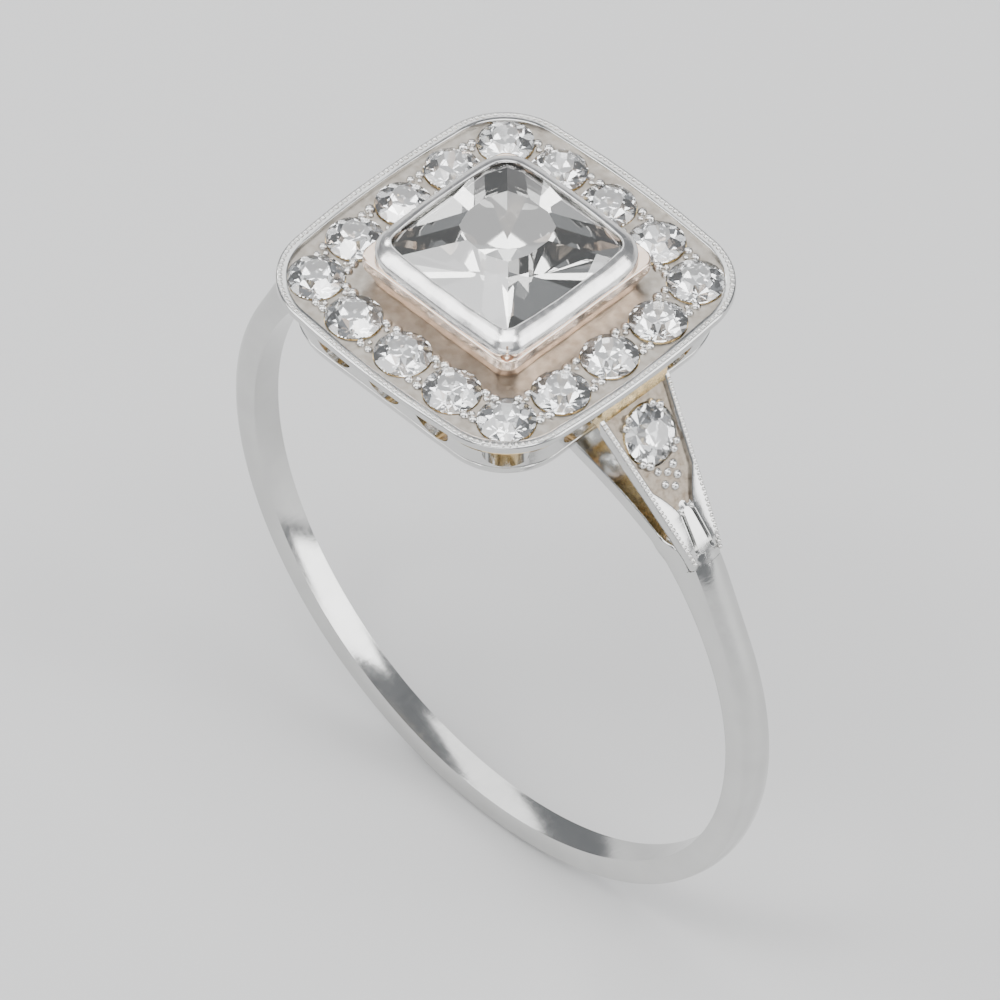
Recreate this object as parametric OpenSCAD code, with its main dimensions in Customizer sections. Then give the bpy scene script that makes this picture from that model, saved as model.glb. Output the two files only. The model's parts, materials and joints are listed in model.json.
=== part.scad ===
// Engagement ring: a cushion-square diamond cluster on a slim forked shank.
// The finger hole runs along Y with its centre at the origin, and the head is at the top.
// Radii, widths and heights are measured from that centre.

/* [Finger hole and shank] */
// Radius of the finger hole
finger_r = 8.6; // [8.5:0.05:8.7]
// Radial thickness of the shank
shank_t = 0.85; // [0.8:0.05:0.9]
// Half-width of the shank at the bottom of the hoop
shank_half_bottom = 0.42; // [0.4:0.01:0.46]
// Half-width of the shank where the shoulders start
shank_half_top = 0.5; // [0.48:0.01:0.54]
// Half-width of the shoulders where they meet the head
shoulder_half_head = 1.26; // [1.2:0.01:1.3]
// Radial thickness of the finger rail that closes the hoop below the shoulders and the head
rail_t = 0.5; // [0.45:0.05:0.55]

/* [Shoulders] */
// Angle above the horizontal in which a shoulder's flat face looks
shoulder_angle = 36.6; // [36:0.2:37]
// Distance of that face from the finger axis
shoulder_face = 9.8; // [9.75:0.01:9.85]
// Angle above the horizontal at which the shank's neck leaves the round of the hoop
neck_angle = 25; // [24:0.5:26]
// Angle above the horizontal at which the shoulder and the finger rail part
fork_angle = 48; // [47:0.5:49]
// Thickness of the white top layer of a shoulder
shoulder_t = 0.33; // [0.28:0.01:0.36]
// Thickness of the gold layer below it
shoulder_lining_t = 0.14; // [0.12:0.01:0.16]
// Distance of the shoulder stone's centre along the face, from the foot of its perpendicular
shoulder_stone_at = 4.5; // [4.4:0.05:4.55]
// Radius of the shoulder stone
shoulder_stone_r = 0.78; // [0.75:0.01:0.8]

/* [Head] */
// Height of the head's flat border above the finger axis
head_top = 11.21; // [11.15:0.02:11.25]
// Half-width of the head at its corners' flats, before the sides bow out
head_half = 4.7; // [4.68:0.02:4.76]
// Corner radius of the head
head_corner = 2.1; // [1.9:0.05:2.2]
// How far each side of the head bows out
head_bow = 0.12; // [0.08:0.01:0.16]
// Thickness of the cluster plate
plate_t = 0.2; // [0.18:0.01:0.22]
// Depth of the sunk bed that the small stones sit in
bed_depth = 0.12; // [0.08:0.01:0.14]
// Thickness of the gold lining below the plate
lining_t = 0.4; // [0.35:0.01:0.45]
// Half-width of the gallery at its top, and of the lining above it
gallery_half = 4.4; // [4.35:0.01:4.45]
// Inward lean of the gallery wall, as run over rise
gallery_lean = 0.24; // [0.2:0.01:0.26]
// Thickness of the gallery wall
gallery_t = 0.4; // [0.35:0.01:0.45]
// Height of the gallery, from its rail's underside up to the lining
gallery_h = 1.06; // [1.02:0.01:1.1]

/* [Small stones] */
// Radius of each stone in the border
halo_r = 0.74; // [0.7:0.01:0.75]
// Distance of each side row from the centre
halo_row = 3.64; // [3.62:0.01:3.68]
// Distance of the corner stones from the centre, along X and along Y
halo_corner = 3.37; // [3.35:0.01:3.4]
// Spacing of the stones along a side
halo_pitch = 1.73; // [1.71:0.01:1.75]

/* [Centre stone and collet] */
// Half-width of the centre stone at its girdle
centre_half = 2.3; // [2.28:0.01:2.32]
// Half-width of the platinum collet outside
collet_half = 2.62; // [2.6:0.01:2.66]
// Half-width of the collet's opening
collet_opening = 2.16; // [2.14:0.01:2.18]
// Height of the collet's rim above the head's flat border
collet_h = 1.3; // [1.28:0.01:1.34]
// Half-width of the gold step that the collet stands on
foot_half = 2.68; // [2.66:0.01:2.72]

/* [Hidden] */

// Names of the small stones, counted round the head from the +X side
function halo_name(i) = str("halo_diamond_", i < 9 ? "0" : "", i + 1);

platinum = "gainsboro";
gold = "burlywood";
diamond = "aliceblue";
fine = 96;
clear = 0.03;
past = 1;

hoop_r = finger_r + shank_t;
rail_r = finger_r + rail_t;
dome_r = 0.9;
head_end_z = 10.33;
shoulder_top = shoulder_face - shoulder_t;
shoulder_low = shoulder_top - shoulder_lining_t;
shoulder_reach = 8;
riser_x = 4.54;
lining_inset = 0.1;
edge_w = 0.2;
panel_depth = 0.1;
panel_from = 2.9;
cut_from = 0.95;
cut_length = 2.1;
cut_apart = 0.2;
cut_side = 0.18;
seat_depth = 2;
shoulder_bearing_r = 0.75 * shoulder_stone_r;
shoulder_grain_at = 0.8 * shoulder_stone_r;

// Where the neck's straight back meets the shoulder's face, in X and Z
start_x = (shoulder_face * sin(neck_angle) - hoop_r * sin(shoulder_angle)) / sin(neck_angle - shoulder_angle);
start_z = (hoop_r * cos(shoulder_angle) - shoulder_face * cos(neck_angle)) / sin(neck_angle - shoulder_angle);
start_s = start_z * cos(shoulder_angle) - start_x * sin(shoulder_angle);

plate_bottom = head_top - plate_t;
bed_z = head_top - bed_depth;
lining_bottom = plate_bottom - lining_t;
bed_half = 4.42;
bed_corner = head_corner - 0.3;
rim_w = 0.14;
rim_h = 0.05;
foot_h = 0.79;
foot_step_h = 0.34;
foot_top = head_top + foot_h;
foot_step = foot_top - foot_step_h;
foot_low = 2.44;
foot_corner = 0.45;
spigot_half = 2.4;
spigot_corner = 0.45;
sleeve_half = 2.0;
sleeve_corner = 0.4;
gallery_corner = 1.9;
gallery_base = lining_bottom - gallery_h;
gallery_low = gallery_half - gallery_lean * gallery_h;
gallery_rail_h = 0.3;
gallery_rail_t = 0.6;

halo_girdle = plate_bottom + 0.11;
bearing_r = 0.62;
arch_r = 0.62;
arch_sill = 0.05;
arch_depth = 2;
arch_z = gallery_base + gallery_rail_h + arch_sill + arch_r;
arch_corner = halo_corner * sqrt(2) + 0.6;
grain_r = 0.14;
grain_out = 0.5;
grain_lift = 0.02;
stone_table = 0.55;
stone_crown = 0.33;
stone_pavilion = 0.8;
stone_girdle_t = 0.04;

collet_top = head_top + collet_h;
centre_girdle = collet_top - 0.26;
centre_girdle_t = 0.08;
centre_corner = 0.6;
centre_table = 0.46;
centre_crown = 0.75;
centre_pavilion = 1.9;
collet_corner = 1;
collet_bow = 0.04;
lip_bottom = centre_girdle + centre_girdle_t + 0.06;
lip_edge = collet_top - 0.24;

// Larger than any part of the ring, for blocks that cut or keep everything on one side
big = 14;

// ---- Outlines ----

// Quarter of a square outline with round corners and bowed sides, as points from the +X side
// up to the middle of the +Y side. With corner = half it is a quarter circle.
function cushion_quarter(half, corner, bow) = let (flat = half - corner) concat(
    [for (k = [0:3]) let (y = flat * k / 4) [half + bow * (1 - pow(k / 4, 2)), y]],
    [for (a = [0:9:90]) [flat + corner * cos(a), flat + corner * sin(a)]],
    [for (k = [3:-1:1]) let (x = flat * k / 4) [x, half + bow * (1 - pow(k / 4, 2))]]
);

function turned(p, a) = [p[0] * cos(a) - p[1] * sin(a), p[0] * sin(a) + p[1] * cos(a)];

function cushion(half, corner, bow = 0) =
    [for (q = [0:3]) for (p = cushion_quarter(half, corner, bow)) turned(p, 90 * q)];

// Distance from the centre to a round-cornered square outline, in direction a
function cushion_reach(a, half, corner) =
    let (flat = half - corner)
    let (c = abs(cos(a)))
    let (s = abs(sin(a)))
    let (along = flat * (c + s))
    let (arc = along + sqrt(max(0, corner * corner - 2 * flat * flat + along * along)))
    min(arc * c, arc * s) >= flat ? arc : half / max(c, s);

module slab(half, corner, z0, z1, bow = 0) {
    translate([0, 0, z0])
        linear_extrude(z1 - z0)
            polygon(cushion(half, corner, bow));
}

// Prism along Y with the given outline in X and Z
module along_y(points) {
    rotate([90, 0, 0])
        linear_extrude(big, center = true)
            polygon(points);
}

// Round bar along the finger axis
module finger_bar(r) {
    rotate([90, 0, 0])
        cylinder(r = r, h = big, center = true, $fn = 2 * fine);
}

// The taper that the shank and shoulders share, seen from the side, with each face set in by inset
module side_taper(inset = 0) {
    b = shank_half_bottom - inset;
    t = shank_half_top - inset;
    h = shoulder_half_head - inset;
    top = head_top + past;
    rotate([90, 0, 90])
        linear_extrude(2 * (hoop_r + past), center = true)
            polygon([
                [-b, -hoop_r - past], [b, -hoop_r - past], [t, start_z], [h, head_end_z],
                [h, top], [-h, top], [-h, head_end_z], [-t, start_z]
            ]);
}

// The space that the gallery and lining fill, seen along the finger
module head_side() {
    along_y([
        [-gallery_low, gallery_base], [gallery_low, gallery_base], [gallery_half, lining_bottom],
        [gallery_half, head_top + past], [-gallery_half, head_top + past], [-gallery_half, lining_bottom]
    ]);
}

// Tapering block of the gallery, thinned all round by inset
module gallery_block(inset = 0) {
    low = gallery_low - inset;
    high = gallery_half - inset;
    translate([0, 0, gallery_base])
        linear_extrude(gallery_h, scale = high / low)
            polygon(cushion(low, (gallery_corner - inset) * low / high));
}

// ---- Cut stones ----

// A stone with its girdle's lower edge at z = 0: an eight-sided table, star, kite and half facets,
// and a pavilion to a point. corner = half makes it round.
module cut_stone(half, corner, table, crown, girdle_t, pavilion, steps = 1) {
    n = 16 * steps;
    function ring(count, turn, share, z) = [
        for (i = [0:count - 1])
            let (a = turn + 360 * i / count)
            let (r = share * cushion_reach(a, half, corner))
            [r * cos(a), r * sin(a), z]
    ];
    mid_share = table + (1 - table) * 0.55;
    mid_z = girdle_t + crown * 0.52;
    points = concat(
        ring(8, 0, table, girdle_t + crown),
        ring(8, 22.5, mid_share, mid_z),
        ring(n, 0, 1, girdle_t),
        ring(n, 0, 1, 0),
        [[0, 0, -pavilion]]
    );
    up = 16;
    low = 16 + n;
    tip = 16 + 2 * n;
    faces = concat(
        [[7, 6, 5, 4, 3, 2, 1, 0]],
        [for (i = [0:7]) [i, (i + 1) % 8, 8 + i]],
        [for (i = [0:7]) [i, 8 + i, up + 2 * steps * i]],
        [for (i = [0:7]) [i, up + 2 * steps * i, 8 + (i + 7) % 8]],
        [for (i = [0:7]) for (k = [0:2 * steps - 1]) let (g = 2 * steps * i + k)
            [8 + i, up + (g + 1) % n, up + g]],
        [for (g = [0:n - 1]) [up + g, up + (g + 1) % n, low + (g + 1) % n]],
        [for (g = [0:n - 1]) [up + g, low + (g + 1) % n, low + g]],
        [for (g = [0:n - 1]) [low + g, low + (g + 1) % n, tip]]
    );
    polyhedron(points, faces);
}

module small_stone(r) {
    cut_stone(r, r, stone_table, r * stone_crown, stone_girdle_t, r * stone_pavilion);
}

// Places of the stones round the border: a side's three, then the corner after it
function halo_place(i) =
    let (k = i % 4)
    let (p = k < 3 ? [halo_row, halo_pitch * (k - 1)] : [halo_corner, halo_corner])
    turned(p, 90 * floor(i / 4));

module halo_diamond(i) {
    color(diamond)
        translate(concat(halo_place(i), halo_girdle))
            small_stone(halo_r);
}

// ---- Head ----

// Two grains of metal in the gap after stone i, one outside the row and one inside it
module grains(i) {
    a = halo_place(i);
    b = halo_place((i + 1) % 16);
    middle = (a + b) / 2;
    across = turned((b - a) / norm(b - a), -90);
    for (side = [-grain_out, grain_out])
        translate(concat(middle + side * across, bed_z + grain_lift))
            sphere(r = grain_r, $fn = 24);
}

// Platinum top of the head: a flat border, a sunk bed with pierced seats, and the grains
module cluster_plate() {
    color(platinum)
        difference() {
            union() {
                difference() {
                    slab(head_half, head_corner, plate_bottom, head_top + rim_h, head_bow);
                    slab(head_half - rim_w, head_corner - rim_w, head_top, head_top + past, head_bow);
                    slab(bed_half, bed_corner, bed_z, head_top + past);
                }
                for (i = [0:15])
                    grains(i);
            }
            slab(spigot_half, spigot_corner, plate_bottom - past, head_top + past);
            for (i = [0:15])
                translate(concat(halo_place(i), plate_bottom - past))
                    cylinder(r = halo_r + clear, h = plate_t + 2 * past, $fn = 48);
        }
}

// Gold backing of the plate, pierced below each stone
module plate_lining() {
    color(gold)
        difference() {
            slab(gallery_half, gallery_corner, lining_bottom, plate_bottom);
            slab(spigot_half, spigot_corner, lining_bottom - past, plate_bottom + past);
            for (i = [0:15])
                translate(concat(halo_place(i), lining_bottom - past))
                    cylinder(r = bearing_r, h = lining_t + 2 * past, $fn = 48);
        }
}

// Round-bottomed window through the gallery wall, facing +X before it is placed
module arch() {
    rotate([90, 0, 90])
        linear_extrude(arch_depth, center = true) {
            translate([0, arch_z])
                circle(r = arch_r, $fn = 48);
            translate([-arch_r, arch_z])
                square([2 * arch_r, past]);
        }
}

// Pierced wall below the lining, open in an arcade with one arch to each stone
module gallery_wall() {
    color(platinum)
        difference() {
            gallery_block();
            gallery_block(gallery_t);
            translate([-big / 2, -big / 2, gallery_base - past])
                cube([big, big, gallery_rail_h + past]);
            for (q = [0:3])
                rotate([0, 0, 90 * q]) {
                    for (k = q % 2 == 0 ? [-1, 1] : [-1, 0, 1])
                        translate([gallery_half - gallery_t / 2, halo_pitch * k, 0])
                            arch();
                    rotate([0, 0, 45])
                        translate([arch_corner, 0, 0])
                            arch();
                }
        }
}

// Level frame that the arcade stands on
module gallery_rail() {
    color(platinum)
        difference() {
            gallery_block();
            gallery_block(gallery_rail_t);
            translate([-big / 2, -big / 2, gallery_base + gallery_rail_h])
                cube([big, big, gallery_h]);
        }
}

// Gold body of the collet: it widens from the plate to a step, and its sleeve runs down
// through the plate to stand on the finger rail
module collet_foot() {
    color(gold)
        difference() {
            union() {
                slab(foot_half, foot_corner, foot_step, foot_top);
                translate([0, 0, bed_z])
                    linear_extrude(foot_step - bed_z, scale = foot_half / foot_low)
                        polygon(cushion(foot_low, foot_corner));
                slab(spigot_half, spigot_corner, finger_r - past, bed_z);
            }
            slab(sleeve_half, sleeve_corner, finger_r - 2 * past, foot_top + past);
            finger_bar(rail_r);
        }
}

// Platinum rub-over collet: a wall round the girdle and a wide lip that slopes in over it
module collet() {
    lip_share = (collet_opening + 0.08) / (collet_half + collet_bow);
    color(platinum)
        difference() {
            union() {
                slab(collet_half, collet_corner, foot_top, lip_edge, collet_bow);
                translate([0, 0, lip_edge])
                    linear_extrude(collet_top - lip_edge, scale = lip_share)
                        polygon(cushion(collet_half, collet_corner, collet_bow));
            }
            slab(centre_half + clear, centre_corner, foot_top - past, lip_bottom);
            slab(collet_opening, centre_corner, lip_bottom - clear, collet_top + past);
        }
}

module centre_diamond() {
    color(diamond)
        translate([0, 0, centre_girdle])
            cut_stone(
                centre_half, centre_corner, centre_table, centre_crown, centre_girdle_t, centre_pavilion, 3
            );
}

// ---- Hoop and shoulders ----

// A point at a distance from the finger axis, at an angle above the horizontal
function polar(r, a) = [r * cos(a), r * sin(a)];

// A point s along a shoulder's face and n out from the finger axis, in X and Z
function on_shoulder(s, n) = n * polar(1, shoulder_angle) + s * polar(1, shoulder_angle + 90);

// The space above the line at an angle, on both sides
module above(a) {
    p = polar(2 * hoop_r, a);
    along_y([[0, 0], p, [0, 3 * hoop_r], [-p[0], p[1]]]);
}

// Square-edged bar below the shank's neck, domed along its back as the hoop is
module neck_bar() {
    rotate([0, 90 - neck_angle, 0]) {
        translate([0, 0, hoop_r - dome_r])
            rotate([0, 90, 0])
                cylinder(r = dome_r, h = big, center = true, $fn = fine);
        translate([-big / 2, -dome_r, 0])
            cube([big, 2 * dome_r, hoop_r - dome_r]);
    }
}

// Side of the right-hand neck: solid from the hoop up to where the shoulder and the rail part
module neck_side() {
    fork = shoulder_low / cos(fork_angle - shoulder_angle);
    along_y([
        [0, 0], polar(hoop_r, neck_angle), [start_x, start_z],
        on_shoulder(start_s, shoulder_low), polar(fork, fork_angle)
    ]);
}

// Domed hoop below the shoulders, closed under them and the head by a thin, wider finger rail
module shank() {
    color(platinum)
        difference() {
            intersection() {
                side_taper();
                union() {
                    difference() {
                        rotate([90, 0, 0])
                            rotate_extrude($fn = 2 * fine)
                                intersection() {
                                    translate([finger_r - past, -dome_r])
                                        square([shank_t + past, 2 * dome_r]);
                                    translate([hoop_r - dome_r, 0])
                                        circle(r = dome_r, $fn = fine);
                                }
                        above(neck_angle);
                    }
                    for (side = [0, 1])
                        mirror([side, 0, 0])
                            intersection() {
                                neck_bar();
                                neck_side();
                            }
                    intersection() {
                        finger_bar(rail_r);
                        above(neck_angle);
                    }
                }
            }
            finger_bar(finger_r);
        }
}

// Frame of the right-hand shoulder: X runs down the shoulder from the head, Z out of its face,
// and the origin is on the finger axis below the foot of the face's perpendicular
module shoulder_frame() {
    rotate([0, 90 - shoulder_angle, 0])
        children();
}

// Flat layer of a shoulder between two distances from the finger axis. It starts at a distance
// from the foot of the face's perpendicular and runs up to the head.
module shoulder_layer(low, high, from = start_s) {
    shoulder_frame()
        translate([-shoulder_reach, -big / 2, low])
            cube([shoulder_reach - from, big, high - low]);
}

module shoulder_seat(r) {
    shoulder_frame()
        translate([-shoulder_stone_at, 0, shoulder_face - seat_depth])
            cylinder(r = r, h = seat_depth + past, $fn = 48);
}

// Two engraved V cuts that run down from the panel
module shoulder_cuts() {
    shoulder_frame()
        for (side = [-cut_apart, cut_apart])
            translate([-cut_from - cut_length / 2, side, shoulder_face])
                rotate([45, 0, 0])
                    cube([cut_length, cut_side, cut_side], center = true);
}

// White top of a shoulder: raised edges, a sunk panel with four grains round a pierced seat,
// and two engraved cuts below it
module shoulder() {
    panel_floor = shoulder_face - panel_depth;
    color(platinum)
        difference() {
            union() {
                difference() {
                    intersection() {
                        side_taper();
                        shoulder_layer(shoulder_top, shoulder_face);
                    }
                    intersection() {
                        side_taper(edge_w);
                        shoulder_layer(panel_floor, shoulder_face + past, panel_from);
                    }
                }
                shoulder_frame()
                    for (x = [-1, 1])
                        for (y = [-1, 1])
                            translate([
                                x * shoulder_grain_at - shoulder_stone_at, y * shoulder_grain_at, panel_floor
                            ])
                                sphere(r = grain_r, $fn = 24);
            }
            translate([riser_x - big, -big / 2, 0])
                cube(big);
            shoulder_seat(shoulder_stone_r + clear);
            shoulder_cuts();
        }
}

// Gold layer below the shoulder, which turns up against the head as a riser
module shoulder_lining() {
    color(gold)
        difference() {
            intersection() {
                side_taper(lining_inset);
                union() {
                    shoulder_layer(shoulder_low, shoulder_top);
                    intersection() {
                        shoulder_layer(shoulder_top, shoulder_face + past);
                        translate([riser_x - big, -big / 2, 0])
                            cube([big, big, plate_bottom]);
                    }
                }
            }
            head_side();
            translate([-big, -big / 2, 0])
                cube([big, big, big]);
            shoulder_seat(shoulder_bearing_r);
        }
}

module shoulder_diamond() {
    color(diamond)
        shoulder_frame()
            translate([-shoulder_stone_at, 0, shoulder_face - panel_depth])
                small_stone(shoulder_stone_r);
}

module left() {
    mirror([1, 0, 0])
        children();
}

shank();
left() shoulder();  // shoulder_left
shoulder();  // shoulder_right
left() shoulder_lining();  // shoulder_lining_left
shoulder_lining();  // shoulder_lining_right
left() shoulder_diamond();  // shoulder_diamond_left
shoulder_diamond();  // shoulder_diamond_right
gallery_rail();
gallery_wall();
plate_lining();
cluster_plate();
collet_foot();
collet();
centre_diamond();
for (i = [0:15])
    halo_diamond(i);
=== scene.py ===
"""Engagement ring: a cushion-square diamond cluster with a raised collet, on a slim forked shank.

Lengths are in millimetres until a mesh is made, and MM turns them into metres.
X runs to the right-hand shoulder, Y along the finger hole and Z up through the head.
"""

import json
import math
import random

import bmesh
import bpy
from mathutils import Matrix, Vector, noise

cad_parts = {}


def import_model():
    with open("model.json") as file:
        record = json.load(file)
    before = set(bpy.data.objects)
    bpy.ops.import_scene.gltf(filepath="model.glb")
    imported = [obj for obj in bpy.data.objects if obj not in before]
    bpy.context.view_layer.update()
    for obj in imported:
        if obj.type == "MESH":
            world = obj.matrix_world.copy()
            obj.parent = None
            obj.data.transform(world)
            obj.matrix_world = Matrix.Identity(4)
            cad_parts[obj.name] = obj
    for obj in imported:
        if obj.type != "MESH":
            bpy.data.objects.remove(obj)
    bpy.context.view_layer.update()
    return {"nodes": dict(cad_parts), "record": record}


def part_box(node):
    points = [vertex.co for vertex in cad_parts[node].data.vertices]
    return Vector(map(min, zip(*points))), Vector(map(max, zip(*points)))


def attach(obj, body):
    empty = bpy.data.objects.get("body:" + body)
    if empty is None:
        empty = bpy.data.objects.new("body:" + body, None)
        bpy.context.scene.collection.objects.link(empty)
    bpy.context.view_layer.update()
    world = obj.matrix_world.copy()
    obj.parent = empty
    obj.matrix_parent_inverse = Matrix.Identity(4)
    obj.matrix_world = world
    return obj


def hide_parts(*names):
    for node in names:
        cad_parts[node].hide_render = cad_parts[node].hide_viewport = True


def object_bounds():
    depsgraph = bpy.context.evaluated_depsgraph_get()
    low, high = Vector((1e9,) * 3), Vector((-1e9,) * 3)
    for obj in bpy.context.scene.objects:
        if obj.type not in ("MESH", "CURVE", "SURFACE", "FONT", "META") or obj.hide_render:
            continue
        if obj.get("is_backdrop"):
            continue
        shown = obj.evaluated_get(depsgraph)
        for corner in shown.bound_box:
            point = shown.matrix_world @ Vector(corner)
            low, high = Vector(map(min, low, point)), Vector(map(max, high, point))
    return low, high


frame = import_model()

MM = 0.001
TAU = 2 * math.pi


# ---- Sizes from the frame ----


def box(node):
    """Lowest and highest corner of a CAD node, in millimetres."""
    low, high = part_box(node)
    return Vector(low) / MM, Vector(high) / MM


plate_low, plate_high = box("cluster_plate")
foot_high = box("collet_foot")[1]
collet_low, collet_high = box("collet")
gallery_high = box("gallery_wall")[1]
rail_low, rail_high = box("gallery_rail")
shoulder_low, shoulder_high = box("shoulder_right")
hoop_low = box("shank")[0]
stone_high = box("centre_diamond")[1]

# Hoop: radii from the finger axis, the dome of its back, and its half-widths below and above.
FINGER_R = next(m["dims"]["r_mm"] for m in frame["record"]["mounts"] if m["name"] == "finger_bore")
HOOP_R = -hoop_low.z
RAIL_R = 9.1
DOME_R = 0.9
SHANK_HALF_LOW = 0.42
SHANK_HALF_HIGH = 0.5

# Shoulders: the way their straight faces and necks look out, how far out the faces lie, and
# where the finger rail parts from them. A stone's place is measured up the face.
SHOULDER_ANGLE = math.radians(36.6)
NECK_ANGLE = math.radians(25)
FORK_ANGLE = math.radians(48)
SHOULDER_FACE = 9.8
SHOULDER_HALF = shoulder_high.y
SHOULDER_END_Z = 10.33
SHOULDER_T = 0.33
SHOULDER_STONE_R = 0.78
SHOULDER_STONE_AT = 4.5
RISER_X = shoulder_low.x

# Plate: a flat border, and a bed sunk below it.
RIM_H = 0.05
BOW = 0.12
HEAD_TOP = plate_high.z - RIM_H
HEAD_HALF = plate_high.x - BOW
HEAD_CORNER = 2.1
BED_HALF = 4.42
BED_CORNER = HEAD_CORNER - 0.28
BED_Z = HEAD_TOP - 0.12

# Collet and its foot: half-widths of the lip, its opening, the sleeve through the plate and the
# room inside it.
COLLET_HALF = collet_high.x - 0.04
OPENING = 2.16
FOOT_STEP = HEAD_TOP + 0.45
FOOT_CORNER = 0.45
SLEEVE = 2.4
SLEEVE_GAP = 0.02
SLEEVE_INSIDE = 2.0

# Centre stone.
GIRDLE_T = 0.08
CROWN = 0.75
PAVILION = 1.9
CULET = 0.08
GIRDLE = stone_high.z - CROWN - GIRDLE_T

# Small stones: the crown and the pavilion are shares of the radius.
SMALL_GIRDLE_T = 0.04
SMALL_CROWN = 0.33
SMALL_PAVILION = 0.86
HALO_COUNT = 16

# Height that is above the whole ring, for cutters, and the sharpest bend that is shaded smooth.
OVER = 20
SHARP = math.radians(35)


# ---- Mesh tools ----


def place_in_scene(name, data):
    """An object for a mesh, a light or a camera."""
    obj = bpy.data.objects.new(name, data)
    bpy.context.scene.collection.objects.link(obj)
    return obj


def tidy(obj):
    """Merges doubled points, turns the faces outwards and shades smooth except at sharp edges."""
    bm = bmesh.new()
    bm.from_mesh(obj.data)
    bmesh.ops.remove_doubles(bm, verts=bm.verts, dist=1e-7)
    bmesh.ops.dissolve_degenerate(bm, edges=bm.edges, dist=1e-8)
    bmesh.ops.recalc_face_normals(bm, faces=bm.faces)
    for face in bm.faces:
        face.smooth = True
    for edge in bm.edges:
        if len(edge.link_faces) == 2:
            edge.smooth = edge.calc_face_angle() < SHARP
    bm.to_mesh(obj.data)
    bm.free()


def loose(name, verts, faces):
    """A mesh object from points in millimetres, not yet a piece."""
    mesh = bpy.data.meshes.new(name)
    mesh.from_pydata([Vector(v) * MM for v in verts], [], faces)
    mesh.update()
    obj = place_in_scene(name, mesh)
    tidy(obj)
    return obj


def make(name, verts, faces):
    """A new piece from points in millimetres."""
    obj = loose(name, verts, faces)
    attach(obj, "root")
    return obj


def cut_away(obj, verts, faces):
    """Cuts a solid, given by its points and faces, out of obj."""
    cutter = loose("cutter", verts, faces)
    modifier = obj.modifiers.new("cut", "BOOLEAN")
    modifier.operation = "DIFFERENCE"
    modifier.solver = "EXACT"
    modifier.object = cutter
    deps = bpy.context.evaluated_depsgraph_get()
    cut = bpy.data.meshes.new_from_object(obj.evaluated_get(deps))
    obj.modifiers.clear()
    obj.data = cut
    bpy.data.objects.remove(cutter)
    tidy(obj)


def grid(rings, capped=False):
    """Points and faces of a skin over rings of equal length, each a closed loop. The last ring
    joins the first, or both are capped."""
    n = len(rings[0])
    verts = [p for ring in rings for p in ring]
    faces = []
    last = len(rings) - 1 if capped else len(rings)
    for i in range(last):
        a, b = i * n, (i + 1) % len(rings) * n
        for j in range(n):
            k = (j + 1) % n
            faces.append((a + j, a + k, b + k, b + j))
    if capped:
        faces.append(tuple(range(n)))
        faces.append(tuple(range(len(verts) - n, len(verts))))
    return verts, faces


def rounded(points, radius, steps=4):
    """A closed outline of 2D points with every corner rounded by an arc."""
    out = []
    n = len(points)
    for i in range(n):
        p, a, b = Vector(points[i]), Vector(points[i - 1]), Vector(points[(i + 1) % n])
        reach_a = min(radius, (a - p).length * 0.45)
        reach_b = min(radius, (b - p).length * 0.45)
        start = p + (a - p).normalized() * reach_a
        end = p + (b - p).normalized() * reach_b
        for k in range(steps + 1):
            t = k / steps
            out.append((start * (1 - t) ** 2 + p * 2 * t * (1 - t) + end * t * t)[:])
    return out


def smoothstep(low, high, x):
    """0 below low, 1 above high, and an eased climb between them."""
    t = min(1, max(0, (x - low) / (high - low)))
    return t * t * (3 - 2 * t)


def level(outline, z):
    """A flat outline raised to a height."""
    return [(x, y, z) for x, y in outline]


def merged(parts):
    """Points and faces of several meshes as one."""
    verts, faces = [], []
    for v, f in parts:
        base = len(verts)
        verts += [tuple(p) for p in v]
        faces += [tuple(i + base for i in face) for face in f]
    return verts, faces


def ball(centre, radius, axis=Vector((0, 0, 1)), squash=1.0, steps=10):
    """Points and faces of a bead."""
    turn = Vector((0, 0, 1)).rotation_difference(axis)
    verts = []
    for i in range(1, steps):
        a = math.pi * i / steps
        for j in range(2 * steps):
            b = math.pi * j / steps
            p = Vector((math.sin(a) * math.cos(b), math.sin(a) * math.sin(b), squash * math.cos(a)))
            verts.append((turn @ (p * radius) + Vector(centre))[:])
    faces = []
    row = 2 * steps
    for i in range(steps - 2):
        for j in range(row):
            k = (j + 1) % row
            faces.append((i * row + j, i * row + k, (i + 1) * row + k, (i + 1) * row + j))
    top, bottom = len(verts), len(verts) + 1
    verts.append((turn @ Vector((0, 0, squash * radius)) + Vector(centre))[:])
    verts.append((turn @ Vector((0, 0, -squash * radius)) + Vector(centre))[:])
    for j in range(row):
        k = (j + 1) % row
        faces.append((top, k, j))
        faces.append((bottom, (steps - 2) * row + j, (steps - 2) * row + k))
    return verts, faces


def hand_worn(obj, amount, size):
    """Moves the points along their normals by a smooth random amount, as hand finishing leaves them."""
    normals = [v.normal.copy() for v in obj.data.vertices]
    for vert, normal in zip(obj.data.vertices, normals):
        vert.co += normal * noise.noise(vert.co / (size * MM)) * amount * MM
    obj.data.update()


# ---- Outlines ----


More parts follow.
